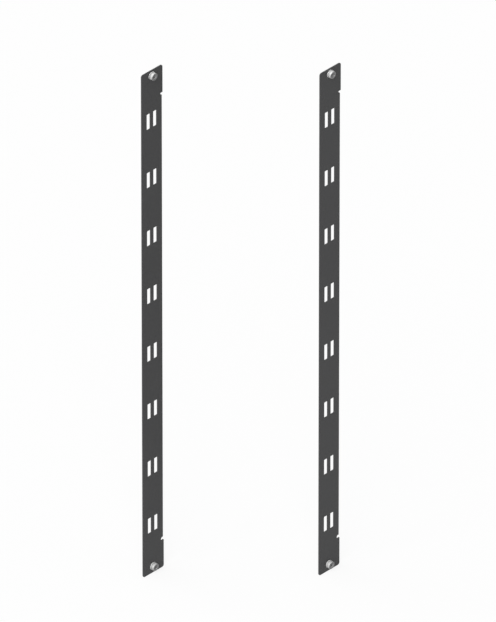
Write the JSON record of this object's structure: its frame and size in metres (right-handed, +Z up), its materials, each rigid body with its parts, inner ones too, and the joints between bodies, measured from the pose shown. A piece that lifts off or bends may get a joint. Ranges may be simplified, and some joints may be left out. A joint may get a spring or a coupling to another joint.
{
  "type": "cable lashing bracket",
  "caption": "Slotted sheet-steel strips with a bent stiffening flange and screws at their ends, which cables in a server rack are strapped to.",
  "frame": {"origin": "middle of the left bracket's two screws, on the rear face that lies against the rack", "axes": "+Z up along the strips, +X across the strip towards its flange, -Y out of the front face"},
  "size_m": [0.1973, 0.1704, 0.7732],
  "materials": {
    "powder_coat": "matt charcoal powder coat",
    "zinc_plate": "bright zinc plate"
  },
  "bodies": {
    "strips": {"left_strip": "powder_coat", "right_strip": "powder_coat"},
    "left_top_washer": {"left_top_washer": "zinc_plate"},
    "left_top_screw": {"left_top_screw": "zinc_plate"},
    "left_bottom_washer": {"left_bottom_washer": "zinc_plate"},
    "left_bottom_screw": {"left_bottom_screw": "zinc_plate"},
    "right_top_washer": {"right_top_washer": "zinc_plate"},
    "right_top_screw": {"right_top_screw": "zinc_plate"},
    "right_bottom_washer": {"right_bottom_washer": "zinc_plate"},
    "right_bottom_screw": {"right_bottom_screw": "zinc_plate"}
  },
  "joints": [
    {"name": "left_top_screw_travel", "type": "slide", "parent": "strips", "child": "left_top_washer", "axis": [0, -1, 0], "range_m": [0, 0.005]},
    {"name": "left_top_screw_turn", "type": "hinge", "parent": "left_top_washer", "child": "left_top_screw", "pos_m": [0, 0, 0.37783], "axis": [0, -1, 0], "range_deg": [0, 1800]},
    {"name": "left_bottom_screw_travel", "type": "slide", "parent": "strips", "child": "left_bottom_washer", "axis": [0, -1, 0], "range_m": [0, 0.005]},
    {"name": "left_bottom_screw_turn", "type": "hinge", "parent": "left_bottom_washer", "child": "left_bottom_screw", "pos_m": [0, 0, -0.37783], "axis": [0, -1, 0], "range_deg": [0, 1800]},
    {"name": "right_top_screw_travel", "type": "slide", "parent": "strips", "child": "right_top_washer", "axis": [0, -1, 0], "range_m": [0, 0.005]},
    {"name": "right_top_screw_turn", "type": "hinge", "parent": "right_top_washer", "child": "right_top_screw", "pos_m": [0.1605, -0.1545, 0.37783], "axis": [0, -1, 0], "range_deg": [0, 1800]},
    {"name": "right_bottom_screw_travel", "type": "slide", "parent": "strips", "child": "right_bottom_washer", "axis": [0, -1, 0], "range_m": [0, 0.005]},
    {"name": "right_bottom_screw_turn", "type": "hinge", "parent": "right_bottom_washer", "child": "right_bottom_screw", "pos_m": [0.1605, -0.1545, -0.37783], "axis": [0, -1, 0], "range_deg": [0, 1800]}
  ],
  "couplings": [
    {"joint": "left_top_screw_turn", "follows": "left_top_screw_travel", "rad_per_m": 6283.2},
    {"joint": "left_bottom_screw_turn", "follows": "left_bottom_screw_travel", "rad_per_m": 6283.2},
    {"joint": "right_top_screw_turn", "follows": "right_top_screw_travel", "rad_per_m": 6283.2},
    {"joint": "right_bottom_screw_turn", "follows": "right_bottom_screw_travel", "rad_per_m": 6283.2}
  ]
}
